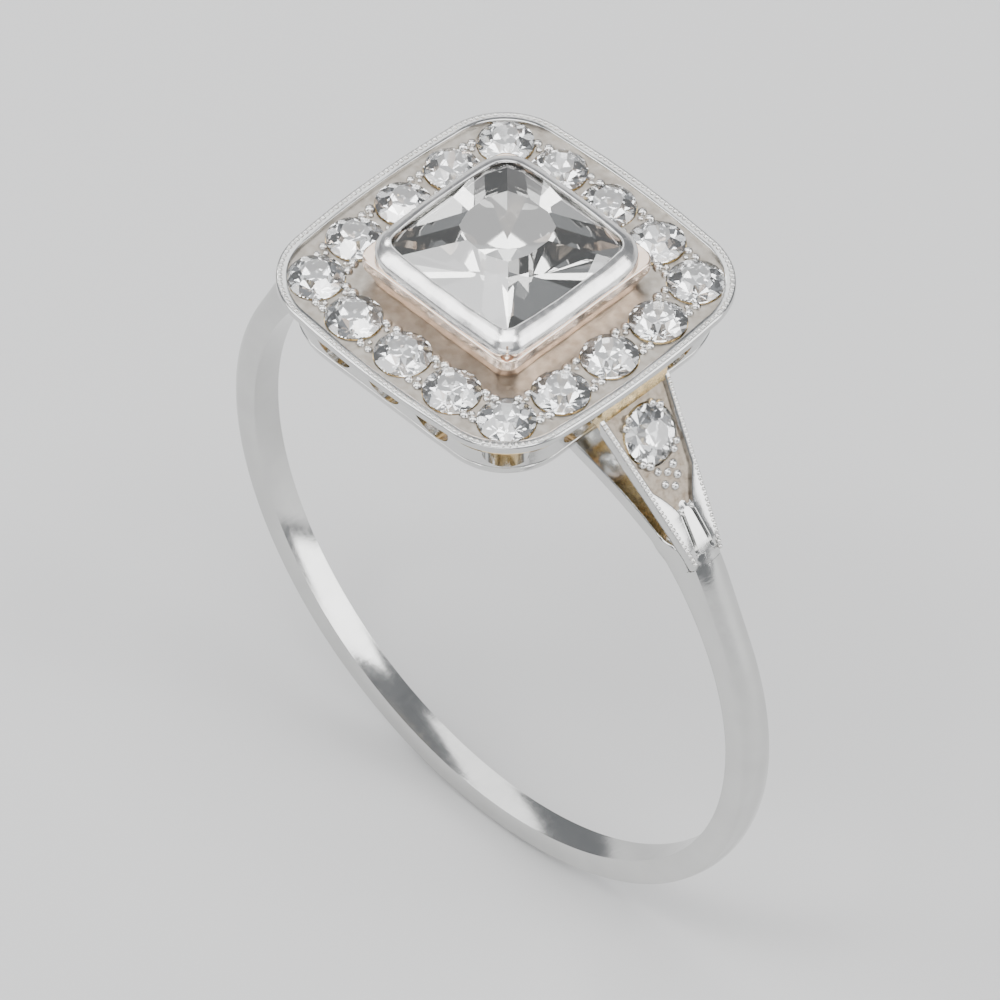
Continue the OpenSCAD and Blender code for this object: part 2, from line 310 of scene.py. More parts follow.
def cushion(half, corner, bow=0.0, side_steps=10, corner_steps=12):
    """A square outline with round corners and bowed sides. corner is one radius or four,
    the first for the corner between +X and +Y and the rest in turn."""
    corners = corner if isinstance(corner, (tuple, list)) else (corner,) * 4
    points = []
    for q in range(4):
        turn = Matrix.Rotation(q * math.pi / 2, 2)
        before, radius = corners[q - 1], corners[q]
        start, end = -(half - before), half - radius
        for k in range(side_steps):
            y = start + (end - start) * k / side_steps
            bulge = bow * (1 - (y / (half - min(before, radius))) ** 2)
            points.append((turn @ Vector((half + bulge, y)))[:])
        for k in range(corner_steps):
            a = math.pi / 2 * k / corner_steps
            p = Vector((half - radius + radius * math.cos(a), half - radius + radius * math.sin(a)))
            points.append((turn @ p)[:])
    return points


# ---- Materials ----


def tree_of(name):
    """A new material, its node tree and its shader."""
    material = bpy.data.materials.new(name)
    material.use_nodes = True
    tree = material.node_tree
    shader = tree.nodes["Principled BSDF"]
    return material, tree, shader


def noise_node(tree, scale, detail, stretch=(1, 1, 1), turn=(0, 0, 0)):
    """A noise texture in the object's own space. scale is features per millimetre."""
    where = tree.nodes.new("ShaderNodeTexCoord")
    place = tree.nodes.new("ShaderNodeMapping")
    place.inputs["Scale"].default_value = [s * scale / MM for s in stretch]
    place.inputs["Rotation"].default_value = turn
    texture = tree.nodes.new("ShaderNodeTexNoise")
    texture.inputs["Scale"].default_value = 1
    texture.inputs["Detail"].default_value = detail
    tree.links.new(where.outputs["Object"], place.inputs["Vector"])
    tree.links.new(place.outputs["Vector"], texture.inputs["Vector"])
    return texture.outputs["Fac"]


def ramp(tree, source, stops):
    """A colour ramp; stops are (position, colour or grey)."""
    node = tree.nodes.new("ShaderNodeValToRGB")
    elements = node.color_ramp.elements
    while len(elements) < len(stops):
        elements.new(0.5)
    for element, (position, value) in zip(elements, stops):
        element.position = position
        colour = value if isinstance(value, tuple) else (value,) * 3
        element.color = (*colour, 1)
    tree.links.new(source, node.inputs["Fac"])
    return node.outputs["Color"]


def bump(tree, source, depth, normal=None):
    """A bump of the given depth in millimetres."""
    node = tree.nodes.new("ShaderNodeBump")
    node.inputs["Strength"].default_value = 1
    node.inputs["Distance"].default_value = depth * MM
    tree.links.new(source, node.inputs["Height"])
    if normal:
        tree.links.new(normal, node.inputs["Normal"])
    return node.outputs["Normal"]


def metal(name, bright, dull, rough, scratch, clouds=1.1):
    """Polished metal: cloudy colour, uneven polish, and fine scratches in two directions. rough is
    the least and the most roughness, scratch a depth, and clouds their number per millimetre."""
    material, tree, shader = tree_of(name)
    shader.inputs["Metallic"].default_value = 1
    cloud = noise_node(tree, clouds, 5)
    tree.links.new(ramp(tree, cloud, [(0.3, dull), (0.65, bright)]), shader.inputs["Base Color"])
    fine = noise_node(tree, 6, 6)
    low, high = rough
    polish = ramp(tree, fine, [(0.3, low), (0.75, high)])
    tree.links.new(polish, shader.inputs["Roughness"])
    along = noise_node(tree, 9, 3, stretch=(1, 0.06, 1), turn=(0.3, 0.2, 0.7))
    across = noise_node(tree, 11, 3, stretch=(0.05, 1, 1), turn=(0.1, 0.6, -0.4))
    first = bump(tree, ramp(tree, along, [(0.56, 0.0), (0.62, 1.0)]), scratch)
    second = bump(tree, ramp(tree, across, [(0.57, 0.0), (0.63, 1.0)]), scratch, first)
    tree.links.new(second, shader.inputs["Normal"])
    return material


DIAMOND_IOR = 2.42


def gem(name, colour, clear):
    """Cut stone. A trace of cloud tints it, too faint to see as a pattern, and what isn't clear
    is the milky glow of many small reflections."""
    material, tree, shader = tree_of(name)
    shader.inputs["Transmission Weight"].default_value = clear
    shader.inputs["IOR"].default_value = DIAMOND_IOR
    shader.inputs["Roughness"].default_value = 0
    tint = noise_node(tree, 0.5, 2)
    paler = tuple(min(1, c * 1.01) for c in colour)
    tree.links.new(ramp(tree, tint, [(0.3, colour), (0.7, paler)]), shader.inputs["Base Color"])
    return material


PLATINUM = metal("platinum", (0.62, 0.62, 0.61), (0.575, 0.575, 0.565), (0.12, 0.2), 0.0002)
LIP = metal("platinum_lip", (0.84, 0.83, 0.82), (0.76, 0.75, 0.74), (0.18, 0.3), 0.0004)
# The sunk bed's platinum is darker and browner than the rest: painted shade in the bed between the
# stones.
SHADED_BED = metal("platinum_bed_painted_shade", (0.43, 0.40, 0.36), (0.31, 0.28, 0.24), (0.28, 0.45), 0.0005, 3.9)
# The shoulders' sunk panel floors are darker still: painted shade in the panels.
SHADE = metal("platinum_shade", (0.34, 0.30, 0.25), (0.15, 0.12, 0.09), (0.3, 0.5), 0.001, 6.0)
BEADS = metal("platinum_beads", (0.80, 0.79, 0.77), (0.68, 0.67, 0.65), (0.16, 0.26), 0.0002)
ROSE = metal("rose_gold", (0.95, 0.79, 0.67), (0.90, 0.72, 0.59), (0.16, 0.28), 0.0002)
YELLOW = metal("yellow_gold", (1.0, 0.80, 0.46), (0.94, 0.70, 0.36), (0.2, 0.34), 0.0003)
DIAMOND = gem("diamond", (0.98, 0.99, 1.0), 0.95)
OLD_DIAMOND = gem("old_diamond", (0.985, 0.985, 0.955), 0.97)


def dress(obj, material):
    """Gives a piece its material."""
    obj.data.materials.clear()
    obj.data.materials.append(material)


# ---- Cut stones ----


def support(outline, angle):
    """How far an outline reaches in a direction."""
    c, s = math.cos(angle), math.sin(angle)
    return max(x * c + y * s for x, y in outline)


def facet(bm, normal, distance):
    """Grinds away everything beyond a plane."""
    geometry = bm.verts[:] + bm.edges[:] + bm.faces[:]
    cut = bmesh.ops.bisect_plane(
        bm, geom=geometry, plane_co=normal * distance, plane_no=normal, clear_outer=True
    )
    edges = [e for e in cut["geom_cut"] if isinstance(e, bmesh.types.BMEdge)]
    if edges:
        bmesh.ops.edgeloop_fill(bm, edges=edges)


def tier(bm, outline, angles, height, rise, share, reach=1.0):
    """One round of facets. Each starts at a height, at a share of the outline's reach called reach,
    and climbs by rise, or falls, on its way in to another share of it, called share."""
    for angle in angles:
        far = support(outline, angle)
        flat = Vector((math.cos(angle), math.sin(angle), 0))
        run = far * (reach - share)
        normal = (flat * abs(rise) + Vector((0, 0, math.copysign(run, rise)))).normalized()
        through = flat * far * reach + Vector((0, 0, height))
        facet(bm, normal, normal.dot(through))


def cut_stone(name, outline, girdle_t, crown, pavilion, place, tiers):
    """Grinds a block to a stone. place moves it from where the girdle's lower edge is at zero."""
    rings = [level(outline, z) for z in (-pavilion, 0, girdle_t, girdle_t + crown)]
    verts, faces = grid(rings, capped=True)
    bm = bmesh.new()
    made = [bm.verts.new(v) for v in verts]
    for face in faces:
        bm.faces.new([made[i] for i in face])
    bmesh.ops.recalc_face_normals(bm, faces=bm.faces)
    for facets in tiers:
        tier(bm, outline, *facets)
    bmesh.ops.dissolve_limit(bm, angle_limit=math.radians(0.2), verts=bm.verts, edges=bm.edges)
    bmesh.ops.recalc_face_normals(bm, faces=bm.faces)
    bm.transform(Matrix.Scale(MM, 4) @ place)
    mesh = bpy.data.meshes.new(name)
    bm.to_mesh(mesh)
    bm.free()
    obj = place_in_scene(name, mesh)
    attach(obj, "root")
    return obj


def around(count, start=0.0):
    """Evenly spaced angles."""
    return [start + TAU * i / count for i in range(count)]


def circle(radius, steps=48):
    return [(radius * math.cos(a), radius * math.sin(a)) for a in around(steps)]


def small_stone(name, radius, place, seed):
    """A round single cut: a table, eight mains and sixteen halves above, the same below."""
    chance = random.Random(seed)
    crown, girdle_t, pavilion = radius * SMALL_CROWN, SMALL_GIRDLE_T, radius * SMALL_PAVILION
    eight = around(8, chance.uniform(0, TAU / 8))
    halves = [a + TAU / 16 for a in eight]
    tiers = [
        (eight, girdle_t, crown, chance.uniform(0.44, 0.52)),
        (halves, girdle_t, crown, 0.6, 0.985),
        (eight, 0, -pavilion, -0.02),
        (halves, 0, -pavilion, 0.06, 0.99),
    ]
    lean = Matrix.Rotation(chance.uniform(-0.035, 0.035), 4, "X")
    lean = lean @ Matrix.Rotation(chance.uniform(-0.035, 0.035), 4, "Y")
    return cut_stone(name, circle(radius), girdle_t, crown, pavilion, place @ lean, tiers)


# ---- Stones ----


def centre_stone():
    """Old mine cut: a cushion outline, a small table on a high crown, and an open culet, cut a
    little unevenly by hand."""
    chance = random.Random(5)
    bow = 0.02
    outline = cushion(stone_high.x - bow, 0.6, bow, side_steps=6, corner_steps=8)

    def by_hand(count, start=0.0):
        return [a + chance.uniform(-0.04, 0.04) for a in around(count, start)]

    tiers = [
        (by_hand(8), GIRDLE_T, CROWN, 0.46),
        (by_hand(16, TAU / 32), GIRDLE_T, CROWN, 0.57, 0.985),
        (by_hand(8, TAU / 16), GIRDLE_T + 0.42 * CROWN, 0.58 * CROWN, 0.4, 0.74),
        (by_hand(8, TAU / 16), GIRDLE_T + CROWN, 0.3, 0.0, 0.45),
        (by_hand(4), 0, -PAVILION, -0.04),
        (by_hand(4, TAU / 8), 0, -PAVILION, 0.2),
        (by_hand(8, TAU / 16), 0, -PAVILION, 0.12, 0.99),
        (by_hand(16, TAU / 32), 0, -PAVILION, 0.16, 0.985),
        (by_hand(8, TAU / 16), -0.55 * PAVILION, -0.45 * PAVILION, -0.02, 0.4),
    ]
    place = Matrix.Translation((0, 0, GIRDLE))
    obj = cut_stone("centre_stone", outline, GIRDLE_T, CROWN, PAVILION - CULET, place, tiers)
    dress(obj, OLD_DIAMOND)
    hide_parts("centre_diamond")


def halo_seat(i):
    """Where a border stone's girdle is centred, as X, Y and Z, and its radius."""
    low, high = box(f"halo_diamond_{i + 1:02d}")
    radius = (high.x - low.x) / 2
    girdle = high.z - SMALL_GIRDLE_T - radius * SMALL_CROWN
    return ((low.x + high.x) / 2, (low.y + high.y) / 2, girdle), radius


def halo_stones():
    """The border's stones."""
    for i in range(HALO_COUNT):
        middle, radius = halo_seat(i)
        obj = small_stone(f"halo_stone_{i + 1:02d}", radius, Matrix.Translation(middle), i)
        dress(obj, DIAMOND)
        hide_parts(f"halo_diamond_{i + 1:02d}")


HALO = [halo_seat(i)[0][:2] for i in range(HALO_COUNT)]
HALO_GIRDLE = halo_seat(0)[0][2]
HALO_R = halo_seat(0)[1]


# ---- Head ----


def turned(centre, profile, steps=64):
    """A solid turned from (radius, height) points, capped at both ends."""
    rings = []
    for r, z in profile:
        rings.append([(centre[0] + r * c, centre[1] + r * s, z) for c, s in circle(1, steps)])
    return grid(rings, capped=True)


def plate_border():
    """Flat border of the plate with softened edges, a little proud of the sunk bed."""
    inner, low = BED_HALF - HEAD_HALF, plate_low.z
    section = [
        (inner, low), (-0.05, low), (0, low + 0.05), (0, HEAD_TOP - 0.02), (-0.05, HEAD_TOP + 0.02),
        (-0.2, HEAD_TOP), (inner, HEAD_TOP - 0.02)
    ]
    rings = []
    for d, z in rounded(section, 0.03):
        rings.append(level(cushion(HEAD_HALF + d, HEAD_CORNER + d, BOW, 24, 20), z))
    obj = make("plate_border", *grid(rings))
    hand_worn(obj, 0.012, 0.9)
    dress(obj, PLATINUM)
    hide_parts("cluster_plate")


def plate_bed():
    """Sunk bed with a bright-cut countersink round each stone, in a darker brownish platinum that paints
    the shade of the sunk bed.
    """
    outer = cushion(BED_HALF + 0.02, BED_CORNER, BOW, 24, 20)
    rings = [level(outer, z) for z in (plate_low.z + 0.01, BED_Z)]
    obj = make("plate_bed", *grid(rings, capped=True))
    bore, sink = HALO_R + 0.02, HALO_R + 0.08
    seat = [
        (bore, plate_low.z - 0.5), (bore, HALO_GIRDLE - 0.02), (sink, BED_Z + 0.005), (sink, BED_Z + 0.5)
    ]
    hole = [level(cushion(SLEEVE + SLEEVE_GAP, FOOT_CORNER), z) for z in (0, OVER)]
    cutters = [turned(centre, seat) for centre in HALO]
    cutters.append(grid(hole, capped=True))
    cut_away(obj, *merged(cutters))
    dress(obj, SHADED_BED)


def halo_grains():
    """Grains raised over the girdles in each gap between two stones, inside and outside the row."""
    chance = random.Random(7)
    seats = [Vector(spot) for spot in HALO]
    parts = []
    for a, b in zip(seats, seats[1:] + seats[:1]):
        middle, along = (a + b) / 2, (b - a).normalized()
        across = Vector((along.y, -along.x))
        for side in (-1, 1):
            for way in (-1, 1):
                spot = middle + across * side * 0.47 + along * way * 0.15
                spot += Vector((chance.uniform(-0.03, 0.03), chance.uniform(-0.03, 0.03)))
                size = chance.uniform(0.12, 0.155)
                parts.append(ball((*spot, BED_Z - 0.02), size, squash=1.1))
            spot = middle + across * side * 0.3
            parts.append(ball((*spot, BED_Z), chance.uniform(0.07, 0.09)))
    obj = make("plate_grains", *merged(parts))
    dress(obj, BEADS)


def spaced(points, pitch):
    """Places along a closed outline, evenly spaced by about pitch."""
    lengths = [0.0]
    loop = [Vector(p) for p in points] + [Vector(points[0])]
    for a, b in zip(loop, loop[1:]):
        lengths.append(lengths[-1] + (b - a).length)
    count = round(lengths[-1] / pitch)
    out, k = [], 0
    for i in range(count):
        want = lengths[-1] * i / count
        while lengths[k + 1] < want:
            k += 1
        t = (want - lengths[k]) / (lengths[k + 1] - lengths[k])
        out.append(loop[k].lerp(loop[k + 1], t))
    return out


def plate_millegrain():
    """A row of fine beads just inside the plate's outer edge."""
    chance = random.Random(3)
    parts = []
    for p in spaced(cushion(HEAD_HALF - 0.1, HEAD_CORNER - 0.1, BOW, 24, 20), 0.165):
        parts.append(ball((p.x, p.y, HEAD_TOP - 0.012), chance.uniform(0.066, 0.078), steps=7))
    obj = make("plate_millegrain", *merged(parts))
    dress(obj, BEADS)


# Outer and inner radius of the lip's corners, in the order cushion() takes them.
LIP_CORNERS = ((0.95, 0.42), (0.95, 0.62), (0.95, 0.42), (0.6, 0.34))


def corner_of(d, depth, outer, inner):
    """A measure of a wall that is outer at d = 0 and inner at d = -depth."""
    t = min(1, max(0, -d / depth))
    return outer + (inner - outer) * t


def corner_seam(low, high):
    """Cutter for the fine upright line where the lip's ends meet at the front corner, where the
    lip's outside is a little further out than near."""
    out, along = Vector((1, -1)).normalized(), Vector((1, 1)).normalized()
    near, far, half = 3.3, 3.6, 0.03
    corners = ((near, -half), (far, -half), (far, half), (near, half))
    ring = [out * r + along * t for r, t in corners]
    return grid([level(ring, z) for z in (low, high)], capped=True)


def collet():
    """Rub-over collet: a convex lip pressed down over the stone, sharper inside at the front."""
    top = collet_high.z
    low = collet_low.z
    lip = OPENING - COLLET_HALF
    pocket = stone_high.x + 0.03 - COLLET_HALF
    section = [
        (pocket, low), (-0.02, low), (0.0, low + 0.04), (0.0, low + 0.16), (-0.04, low + 0.24),
        (-0.15, low + 0.36), (-0.29, low + 0.45), (-0.4, top - 0.01), (lip + 0.02, top),
        (lip, top - 0.03), (lip, GIRDLE + 0.16), (pocket, GIRDLE + 0.14)
    ]
    rings = []
    for d, z in rounded(section, 0.04):
        corners = [corner_of(d, -lip, *pair) for pair in LIP_CORNERS]
        bow = corner_of(d, -lip, 0.04, 0.08)
        rings.append(level(cushion(COLLET_HALF + d, corners, bow, 20, 14), z))
    obj = make("collet_rim", *grid(rings))
    cut_away(obj, *corner_seam(low - 0.1, low + 0.3))
    hand_worn(obj, 0.02, 0.7)
    dress(obj, LIP)
    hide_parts("collet")


def finger_bar(radius):
    """A round bar along the finger axis, longer than the head is deep."""
    rings = [[(radius * c, y, radius * s) for c, s in circle(1, 180)] for y in (-6, 6)]
    return grid(rings, capped=True)


def collet_body():
    """Rose gold body below the collet, with a bright step round its top and a sleeve below that
    stands on the finger rail."""
    half, top = foot_high.x, foot_high.z
    low = RAIL_R - 0.3
    inside, sleeve, waist = SLEEVE_INSIDE - half, SLEEVE - half, SLEEVE + 2 * SLEEVE_GAP - half
    section = [
        (inside, low), (sleeve, low), (sleeve, BED_Z - 0.02), (waist, BED_Z + 0.02),
        (-0.03, FOOT_STEP - 0.02), (0, FOOT_STEP + 0.02), (0, top - 0.03), (-0.03, top), (inside, top)
    ]
    rings = []
    for d, z in rounded(section, 0.03):
        rings.append(level(cushion(half + d, FOOT_CORNER, 0.0, 20, 12), z))
    obj = make("collet_body", *grid(rings))
    notch = 2.42
    cut_away(obj, *ball((notch, -notch, top + 0.02), 0.17, steps=8))
    cut_away(obj, *finger_bar(RAIL_R))
    hand_worn(obj, 0.015, 0.5)
    dress(obj, ROSE)
    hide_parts("collet_foot")


# ---- Gallery ----


GALLERY_LEAN = 0.24
WALL_T = 0.4
FRAME_W = 0.6


def gallery_half(z):
    """Half-width of the gallery outside, which leans in towards its foot."""
    return gallery_high.x - GALLERY_LEAN * (gallery_high.z - z)


def way_out(x, y):
    """Direction in which a border stone faces outwards: square to its side, or along the diagonal."""
    if abs(abs(x) - abs(y)) < 0.1:
        return Vector((x, y)).normalized()
    if abs(y) > abs(x):
        return Vector((0, math.copysign(1, y)))
    return Vector((math.copysign(1, x), 0))


def arch_cutters():
    """A round-bottomed window for each stone, but for the two behind the shoulders."""
    radius, steps = 0.6, 20
    middle, top = rail_high.z + 0.06 + radius, gallery_high.z + 0.2
    half_turn = [math.pi + math.pi * i / steps for i in range(steps + 1)]
    rim = [(radius * math.cos(a), middle + radius * math.sin(a)) for a in half_turn]
    rim += [(radius, top), (-radius, top)]
    cutters = []
    for x, y in HALO:
        if abs(y) < 0.1:
            continue
        out = way_out(x, y)
        along = Vector((-out.y, out.x))
        rings = []
        for reach in (-0.1, 2.0):
            base = Vector((x, y)) + out * reach
            rings.append([(base.x + along.x * t, base.y + along.y * t, z) for t, z in rim])
        cutters.append(grid(rings, capped=True))
    return cutters


def gallery_ring(section, corner):
    """Carries a closed section of (outward distance, height) points round the gallery."""
    rings = []
    for d, z in section:
        rings.append(level(cushion(gallery_half(z) + d, corner + d, 0.0, 24, 20), z))
    return grid(rings)


def gallery():
    """Arcaded wall and the level frame it stands on."""
    low, high = rail_high.z - 0.02, gallery_high.z
    wall = [(-WALL_T, low), (-WALL_T, high), (0, high), (0, low)]
    obj = make("gallery_arcade", *gallery_ring(wall, 1.85))
    cut_away(obj, *merged(arch_cutters()))
    soften(obj, 0.035)
    dress(obj, PLATINUM)
    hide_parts("gallery_wall")
    low, high = rail_low.z, rail_high.z
    section = [(-FRAME_W, low), (0, low), (0.02, high), (-FRAME_W, high)]
    rail = make("gallery_frame", *gallery_ring(rounded(section, 0.05), 1.8))
    hand_worn(rail, 0.01, 0.8)
    dress(rail, PLATINUM)
    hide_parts("gallery_rail")


def soften(obj, width):
    """Rounds the edges, as polishing does."""
    modifier = obj.modifiers.new("edges", "BEVEL")
    modifier.width = width * MM
    modifier.segments = 3
    modifier.limit_method = "ANGLE"
    modifier.angle_limit = SHARP
    modifier.harden_normals = True


# ---- Hoop ----


def half_width(z):
    """Half-width of the shank, finger rail and shoulders at a height."""
    if z < START.y:
        t = (z + HOOP_R) / (START.y + HOOP_R)
        return SHANK_HALF_LOW + (SHANK_HALF_HIGH - SHANK_HALF_LOW) * t
    t = min(1, (z - START.y) / (SHOULDER_END_Z - START.y))
    return SHANK_HALF_HIGH + (SHOULDER_HALF - SHANK_HALF_HIGH) * t


def polar(r, a):
    """The point at a radius and an angle."""
    return Vector((r * math.cos(a), r * math.sin(a)))


def crossing(n1, a1, n2, a2):
    """Where two lines meet, each at a distance from the finger axis and square to an angle."""
    turn = math.sin(a2 - a1)
    x = (n1 * math.sin(a2) - n2 * math.sin(a1)) / turn
    z = (n2 * math.cos(a1) - n1 * math.cos(a2)) / turn
    return Vector((x, z))


# Where the shoulder's straight face starts, its distance up that face, and how far from it the
# bend into the neck reaches.
UP_SHOULDER = polar(1, SHOULDER_ANGLE + math.pi / 2)
UP_NECK = polar(1, NECK_ANGLE + math.pi / 2)
START = crossing(SHOULDER_FACE, SHOULDER_ANGLE, HOOP_R, NECK_ANGLE)
START_S = START.dot(UP_SHOULDER)
EASE = 0.9


def face(s):
    """Point in X and Z and facing angle of the shoulder's face, s up from the foot of its
    perpendicular. Below the start it runs down the neck, and the bend between them is eased."""
    u = s - START_S
    if u >= EASE:
        return START + UP_SHOULDER * u, SHOULDER_ANGLE
    if u <= -EASE:
        return START + UP_NECK * u, NECK_ANGLE
    t = (u + EASE) / (2 * EASE)
    below, above = START - UP_NECK * EASE, START + UP_SHOULDER * EASE
    point = below * (1 - t) ** 2 + START * 2 * t * (1 - t) + above * t * t
    return point, NECK_ANGLE + (SHOULDER_ANGLE - NECK_ANGLE) * t


def on_shoulder(s, y, n, side=1):
    """A point s up the shoulder, y across it and n out from its face."""
    point, angle = face(s)
    point = point + polar(n, angle)
    return (side * point.x, y, point.y)


def out_of_shoulder(side):
    """Direction that a shoulder's straight face looks in."""
    return Vector((side * math.cos(SHOULDER_ANGLE), 0, math.sin(SHOULDER_ANGLE)))


def dome_drop(y):
    """How far the domed back falls away at a distance from its middle."""
    return DOME_R - math.sqrt(max(0, DOME_R * DOME_R - y * y))


def neck_radius(angle):
    """Distance of the shank's back from the finger axis at an angle above the horizontal."""
    if angle < NECK_ANGLE:
        return HOOP_R
    low, high = START_S - 4, START_S + 2
    halvings = 30
    for _ in range(halvings):
        s = (low + high) / 2
        point = face(s)[0]
        if math.atan2(point.y, point.x) < angle:
            low = s
        else:
            high = s
    return face(low)[0].length


def hoop_section(w, outer, domed):
    """Closed section of the hoop as (y, radius) points: a soft flat inside and a domed outside.
    domed is 1 for the full dome and 0 for a flat back."""
    edge = min(0.09, w * 0.2)
    inside = FINGER_R
    half = [(0.0, inside), (w * 0.5, inside + 0.005), (w - edge, inside + 0.02)]
    half += [(w - edge * 0.3, inside + edge * 0.3), (w, inside + edge)]
    side = outer - dome_drop(w) * domed
    half += [(w, side - 0.09), (w - 0.008, side - 0.045), (w - 0.035, side - 0.008)]
    steps = 7
    for k in range(steps, 0, -1):
        y = (w - 0.05) * k / steps
        half.append((y, outer - dome_drop(y) * domed))
    return half + [(0.0, outer)] + [(-y, r) for y, r in reversed(half[1:])]


def hoop():
    """Shank and finger rail as one closed ring. It has its full depth up to where the shoulders
    start, drops in one step to fit below them, and is thin above the forks."""
    neck = face(START_S)[0]
    end = math.atan2(neck.y, neck.x)
    under = SHOULDER_FACE - SHOULDER_T - 0.1
    step = 0.0002
    turns = around(540, -math.pi / 2)
    for a in (end, end + step):
        turns += [a, math.pi - a]
    rings = []
    for turn in sorted(turns):
        a = math.asin(math.sin(turn))
        outer, domed = RAIL_R, 0.15
        if a <= end + step / 2:
            outer, domed = neck_radius(a), 1.0
        elif a < FORK_ANGLE:
            t = smoothstep(FORK_ANGLE - 0.05, FORK_ANGLE, a)
            outer = (1 - t) * under / math.cos(a - SHOULDER_ANGLE) + t * RAIL_R
        section = hoop_section(half_width(outer * math.sin(a)), outer, domed)
        rings.append([(r * math.cos(turn), y, r * math.sin(turn)) for y, r in section])
    obj = make("hoop", *grid(rings))
    hand_worn(obj, 0.006, 2.5)
    dress(obj, PLATINUM)
    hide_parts("shank")


# ---- Shoulders ----


# How far up its face a shoulder reaches. Its engraved cuts run up to where the sunk panel starts.
SHOULDER_TO = SHOULDER_FACE * math.tan(math.pi / 2 - SHOULDER_ANGLE) - RISER_X / math.sin(SHOULDER_ANGLE)
CUT_START = 0.9
CUT_HALF = 0.055
CUT_DEPTH = 0.13
PANEL_START = 2.2
PANEL_FLOOR = 0.11


def groove_at(s):
    """Half of the distance between the two engraved cuts, which draw together on the way up."""
    return max(0.15, 0.27 - 0.075 * (s - CUT_START - 0.05))


def panel_half(s):
    """Half-width of the sunk panel, which narrows to a point between the cuts."""
    wide = half_width(face(s)[0].y) - 0.2
    t = min(1, max(0, (s - PANEL_START - 0.1) / 0.9))
    return min(groove_at(s) + CUT_HALF, wide) * (1 - t) + wide * t


def shoulder_section(s):
    """Closed section of a shoulder's top layer as (y, n) points: raised edges, a sunk panel at the
    top, and below it a ridge between two engraved cuts. The piece's first end is sunk in the neck."""
    w = half_width(face(s)[0].y)
    round_top = 1 - smoothstep(START_S, START_S + 0.6, s)
    panel = smoothstep(PANEL_START, PANEL_START + 0.3, s)
    cut = CUT_DEPTH * smoothstep(CUT_START, CUT_START + 0.5, s) * (1 - panel)
    floor = PANEL_FLOOR * panel
    end = smoothstep(PANEL_START, PANEL_START + 0.45, s)
    groove = groove_at(s)
    ridge = max(0.02, (groove - CUT_HALF) * (1 - end))
    bank = panel_half(s)
    drop = dome_drop(w) * round_top
    half = [
        (w - 0.02, -SHOULDER_T), (w, -SHOULDER_T + 0.03), (w, -drop - 0.06), (w - 0.012, -drop - 0.02),
        (w - 0.04, -dome_drop(w - 0.04) * round_top)
    ]
    lines = [(bank + 0.05, 0), (bank + 0.02, 0.01), (bank, max(0.01, floor))]
    lines += [(min(groove, bank - 0.01), cut + floor), (ridge, PANEL_FLOOR * end)]
    for y, down in lines:
        half.append((y, -down - dome_drop(y) * round_top))
    half.append((0.0, -PANEL_FLOOR * end))
    sink = 0.03 if s < START_S else 0.0
    half = [(max(0.0, y - sink), n - sink) for y, n in half]
    return half + [(-y, n) for y, n in reversed(half[:-1])]


def shoulder_place(side):
    """Where the shoulder's stone sits on the face, looking out of it."""
    spot = Vector(on_shoulder(SHOULDER_STONE_AT, 0, 0, side))
    turn = Vector((0, 0, 1)).rotation_difference(out_of_shoulder(side)).to_matrix().to_4x4()
    return Matrix.Translation(spot) @ turn


def shoulder_seat(side):
    """Cutter for the hole of a shoulder's stone, with a bright-cut chamfer."""
    bore, sink = SHOULDER_STONE_R + 0.02, SHOULDER_STONE_R + 0.06
    verts, faces = turned((0, 0), [(bore, -1), (bore, -0.16), (sink, -0.1), (sink, 0.3)])
    place = shoulder_place(side)
    return [(place @ Vector(v))[:] for v in verts], faces


def head_block(side):
    """Cutter for what of a shoulder would reach past the riser, under the head."""
    corners = [(side * x, y, z) for x in (RISER_X - 4, RISER_X) for y in (-3, 3) for z in (0, 14)]
    sides = [(0, 1, 3, 2), (4, 6, 7, 5), (0, 4, 5, 1), (2, 3, 7, 6), (0, 2, 6, 4), (1, 5, 7, 3)]
    return corners, sides


def pierce(obj, side):
    """Cuts a shoulder's layer off at the riser and lets its stone through."""
    cut_away(obj, *shoulder_seat(side))
    cut_away(obj, *head_block(side))


def shoulder(side, name):
    """Platinum top of one shoulder, pierced for its stone."""
    places, steps = [START_S - 0.04, START_S - 0.001], 130
    places += [START_S + (SHOULDER_TO + 0.2 - START_S) * i / steps for i in range(steps + 1)]
    rings = [[on_shoulder(s, y, n, side) for y, n in shoulder_section(s)] for s in places]
    obj = make(f"{name}_top", *grid(rings, capped=True))
    pierce(obj, side)
    hand_worn(obj, 0.006, 0.5)
    dress(obj, PLATINUM)
    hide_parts(name)


def shoulder_bed(side, name):
    """Floor of the sunk panel round the stone, left matt from the graver, and darkened with painted
    shade of the sunk panel.
    """
    start, steps = 2.4, 40
    low, high = -PANEL_FLOOR - 0.02, -PANEL_FLOOR + 0.012
    rings = []
    for i in range(steps + 1):
        s = start + (SHOULDER_TO - start) * i / steps
        w = panel_half(s) + 0.005
        section = ((-w, low), (w, low), (w, high), (-w, high))
        rings.append([on_shoulder(s, y, n, side) for y, n in section])
    obj = make(f"{name}_bed", *grid(rings, capped=True))
    pierce(obj, side)
    dress(obj, SHADE)


# Grains round a shoulder's stone, as angles in four pairs, and in the panel's point, as (s, y).
STONE_GRAINS = (0.72, 1.0, 2.14, 2.42, 3.86, 4.16, 5.27, 5.57)
PANEL_GRAINS = ((3.55, -0.26), (3.5, 0.25), (3.4, 0.0), (3.2, 0.24), (3.16, -0.22), (2.98, 0.03))


